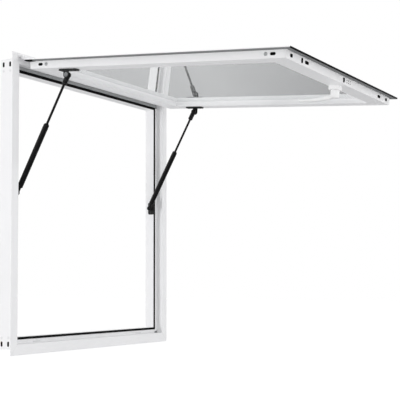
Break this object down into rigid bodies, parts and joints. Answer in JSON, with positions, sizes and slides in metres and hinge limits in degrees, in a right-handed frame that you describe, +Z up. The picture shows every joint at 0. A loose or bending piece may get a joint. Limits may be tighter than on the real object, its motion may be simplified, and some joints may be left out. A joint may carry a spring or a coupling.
{
  "type": "concession window",
  "caption": "White aluminium concession window: a flanged square frame with a glazed awning door hinged at the head, held open by gas struts and locked by a lever handle.",
  "frame": {"origin": "on the back of the flange, in the middle of the strip that laps the wall under the sill", "axes": "+X to the right seen from outside, -Y outdoors, +Z up"},
  "size_m": [0.95, 0.9932, 0.95],
  "materials": {
    "white_powder_coat": "white powder-coated aluminium extrusion",
    "black_rubber": "black EPDM rubber",
    "grey_glass": "grey tinted glass",
    "black_steel": "black painted steel",
    "black_rod": "black nitrided steel rod",
    "steel_pin": "plain stainless steel",
    "white_handle": "white painted die casting"
  },
  "bodies": {
    "frame": {"frame_head": "white_powder_coat", "frame_sill": "white_powder_coat", "left_jamb": "white_powder_coat", "right_jamb": "white_powder_coat", "head_gasket": "black_rubber", "sill_gasket": "black_rubber", "left_gasket": "black_rubber", "right_gasket": "black_rubber", "hinge_frame_leaf": "white_powder_coat", "hinge_pin": "steel_pin", "left_strut_foot": "black_steel", "right_strut_foot": "black_steel"},
    "awning_door": {"door_top_rail": "white_powder_coat", "door_bottom_rail": "white_powder_coat", "door_left_rail": "white_powder_coat", "door_right_rail": "white_powder_coat", "door_top_seal": "black_rubber", "door_bottom_seal": "black_rubber", "door_left_seal": "black_rubber", "door_right_seal": "black_rubber", "glass_pane": "grey_glass", "hinge_door_leaf": "white_powder_coat", "left_strut_bracket": "black_steel", "right_strut_bracket": "black_steel", "handle_base": "white_handle"},
    "lock_lever": {"handle_lever": "white_handle"},
    "left_rod": {"left_strut_rod": "black_rod"},
    "left_cylinder": {"left_strut_cylinder": "black_steel"},
    "right_rod": {"right_strut_rod": "black_rod"},
    "right_cylinder": {"right_strut_cylinder": "black_steel"}
  },
  "joints": [
    {"name": "door_hinge", "type": "hinge", "parent": "frame", "child": "awning_door", "pos_m": [0, -0.0215, 0.9245], "axis": [1, 0, 0], "range_deg": [0, 86]},
    {"name": "handle_turn", "type": "hinge", "parent": "awning_door", "child": "lock_lever", "pos_m": [0.032, -0.87198, 0.81561], "axis": [0, 0.0698, -0.9976], "range_deg": [0, 90]},
    {"name": "left_strut_swing", "type": "hinge", "parent": "awning_door", "child": "left_rod", "pos_m": [-0.4025, -0.16338, 0.86045], "axis": [-1, 0, 0], "range_deg": [0, 114.61]},
    {"name": "left_strut_slide", "type": "slide", "parent": "left_rod", "child": "left_cylinder", "axis": [0, -0.4819, 0.8762], "range_m": [0, 0.13253]},
    {"name": "right_strut_swing", "type": "hinge", "parent": "awning_door", "child": "right_rod", "pos_m": [0.4025, -0.16338, 0.86045], "axis": [-1, 0, 0], "range_deg": [0, 114.61]},
    {"name": "right_strut_slide", "type": "slide", "parent": "right_rod", "child": "right_cylinder", "axis": [0, -0.4819, 0.8762], "range_m": [0, 0.13253]}
  ],
  "couplings": [
    {"joint": "left_strut_swing", "follows": "door_hinge", "ratio": 1.3326},
    {"joint": "left_strut_slide", "follows": "door_hinge", "m_per_rad": 0.088286},
    {"joint": "right_strut_swing", "follows": "door_hinge", "ratio": 1.3326},
    {"joint": "right_strut_slide", "follows": "door_hinge", "m_per_rad": 0.088286}
  ]
}
